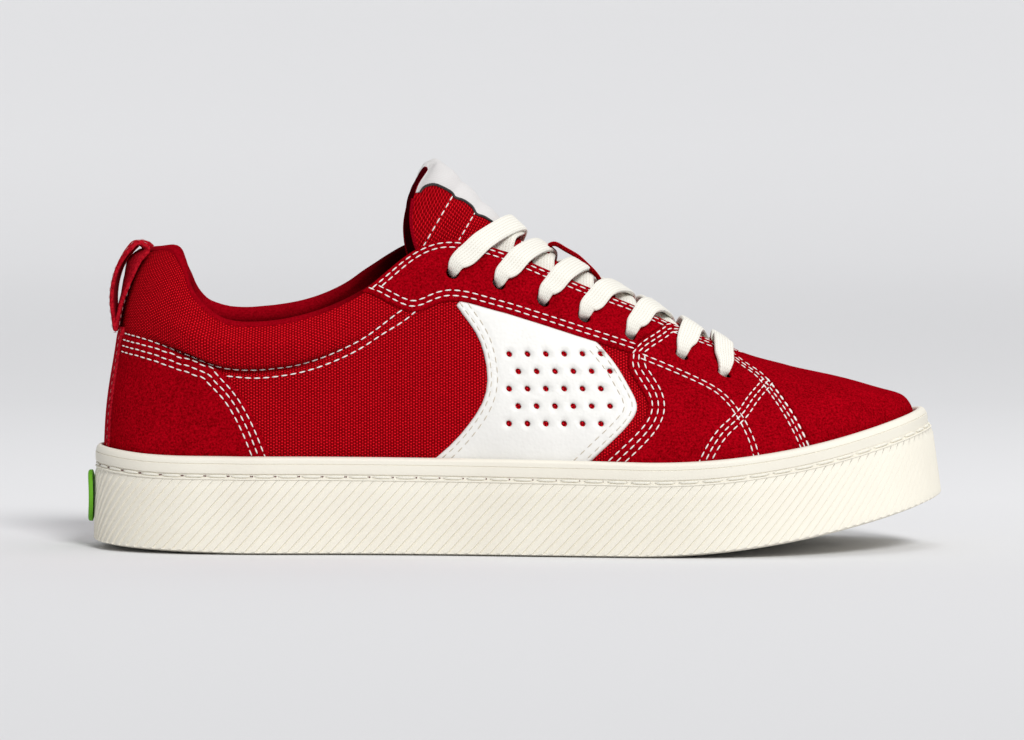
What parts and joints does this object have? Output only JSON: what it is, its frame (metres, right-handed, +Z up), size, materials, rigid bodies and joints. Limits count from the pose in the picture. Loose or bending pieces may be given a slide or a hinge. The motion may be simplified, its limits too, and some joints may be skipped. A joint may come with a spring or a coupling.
{
  "type": "skate shoe",
  "caption": "Low lace-up cupsole skate shoe for the right foot, standing empty, with suede and leather panels on a hollow canvas upper.",
  "frame": {"origin": "on the floor under the middle of the sole", "axes": "+X to the toe, +Z up, -Y to the outer (lateral) side of the right foot"},
  "size_m": [0.3047, 0.109, 0.1394],
  "materials": {
    "red_canvas": "woven red canvas",
    "red_suede": "red suede with a fine nap",
    "dark_red_lining": "dark red textile lining",
    "cream_rubber": "matte moulded cream rubber",
    "white_leather": "smooth white leather",
    "cream_lace": "flat woven off-white lace",
    "white_label": "woven off-white label, bare",
    "green_rubber": "green rubber badge, bare"
  },
  "bodies": {
    "root": {"back_strip": "red_canvas", "eyestay_lateral": "red_suede", "eyestay_medial": "red_suede", "forefoot_panel_lateral": "red_suede", "forefoot_panel_medial": "red_suede", "heel_badge": "green_rubber", "heel_counter_lateral": "red_suede", "heel_counter_medial": "red_suede", "insole": "dark_red_lining", "lace_crossing_1": "cream_lace", "lace_crossing_2": "cream_lace", "lace_crossing_3": "cream_lace", "lace_crossing_4": "cream_lace", "lace_crossing_5": "cream_lace", "lace_crossing_6": "cream_lace", "lace_front_bar": "cream_lace", "lace_keeper": "red_canvas", "pull_loop": "red_canvas", "side_panel_lateral": "white_leather", "side_panel_medial": "white_leather", "sole": "cream_rubber", "toe_cap": "red_suede", "tongue": "red_canvas", "tongue_label": "white_label", "upper": "red_canvas"}
  },
  "joints": []
}
